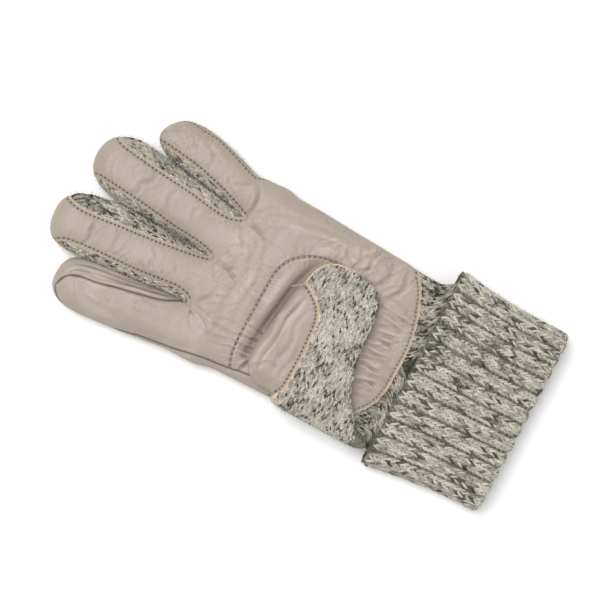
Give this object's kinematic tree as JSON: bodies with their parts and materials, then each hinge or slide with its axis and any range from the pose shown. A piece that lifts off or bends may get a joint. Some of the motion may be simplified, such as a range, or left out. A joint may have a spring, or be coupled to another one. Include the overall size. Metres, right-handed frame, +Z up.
{
  "type": "winter glove",
  "caption": "Left-hand winter glove with a leather palm, knitted back and finger walls, and a turned-back ribbed cuff; the thumb is folded over the palm.",
  "frame": {"origin": "under the middle of the glove, on the surface it lies on", "axes": "+Y to the fingertips, +Z up out of the palm, +X to the little finger; the thumb is on the -X side"},
  "size_m": [0.117, 0.2728, 0.0316],
  "materials": {
    "nappa_leather": "soft satin, finely wrinkled",
    "wool_knit": "fuzzy grey melange stockinette knit",
    "rib_knit": "fuzzy grey melange ribbed knit",
    "sewing_thread": "matt sewing thread"
  },
  "bodies": {
    "hand": {"hand_back_knit": "wool_knit", "palm_leather": "nappa_leather", "rib_cuff": "rib_knit", "side_strip_leather": "nappa_leather", "thumb_gusset_leather": "nappa_leather", "thumb_hole_stitching": "sewing_thread", "wrist_hem_stitching": "sewing_thread"},
    "index": {"index_back_knit": "wool_knit", "index_front_leather": "nappa_leather", "index_left_fourchette_leather": "nappa_leather", "index_right_fourchette_leather": "nappa_leather"},
    "middle": {"middle_back_knit": "wool_knit", "middle_front_leather": "nappa_leather", "middle_left_fourchette_knit": "wool_knit", "middle_right_fourchette_knit": "wool_knit"},
    "ring": {"ring_back_knit": "wool_knit", "ring_front_leather": "nappa_leather", "ring_left_fourchette_knit": "wool_knit", "ring_right_fourchette_knit": "wool_knit"},
    "little": {"little_back_knit": "wool_knit", "little_front_leather": "nappa_leather", "little_left_fourchette_knit": "wool_knit"},
    "thumb": {"thumb_back_knit": "wool_knit", "thumb_front_leather": "nappa_leather", "thumb_seam_stitching": "sewing_thread"}
  },
  "joints": [
    {"name": "index_flex", "type": "hinge", "parent": "hand", "child": "index", "pos_m": [-0.04039, 0.0506, 0.0175], "axis": [1, 0, 0], "range_deg": [0, 85]},
    {"name": "middle_flex", "type": "hinge", "parent": "hand", "child": "middle", "pos_m": [-0.01289, 0.0506, 0.0175], "axis": [1, 0, 0], "range_deg": [0, 85]},
    {"name": "ring_flex", "type": "hinge", "parent": "hand", "child": "ring", "pos_m": [0.01361, 0.0506, 0.0175], "axis": [1, 0, 0], "range_deg": [0, 85]},
    {"name": "little_flex", "type": "hinge", "parent": "hand", "child": "little", "pos_m": [0.03821, 0.0506, 0.0175], "axis": [1, 0, 0], "range_deg": [0, 85]},
    {"name": "thumb_fold", "type": "hinge", "parent": "hand", "child": "thumb", "pos_m": [-0.04999, -0.0147, 0.0175], "axis": [0, -1, 0], "range_deg": [0, 150]}
  ]
}
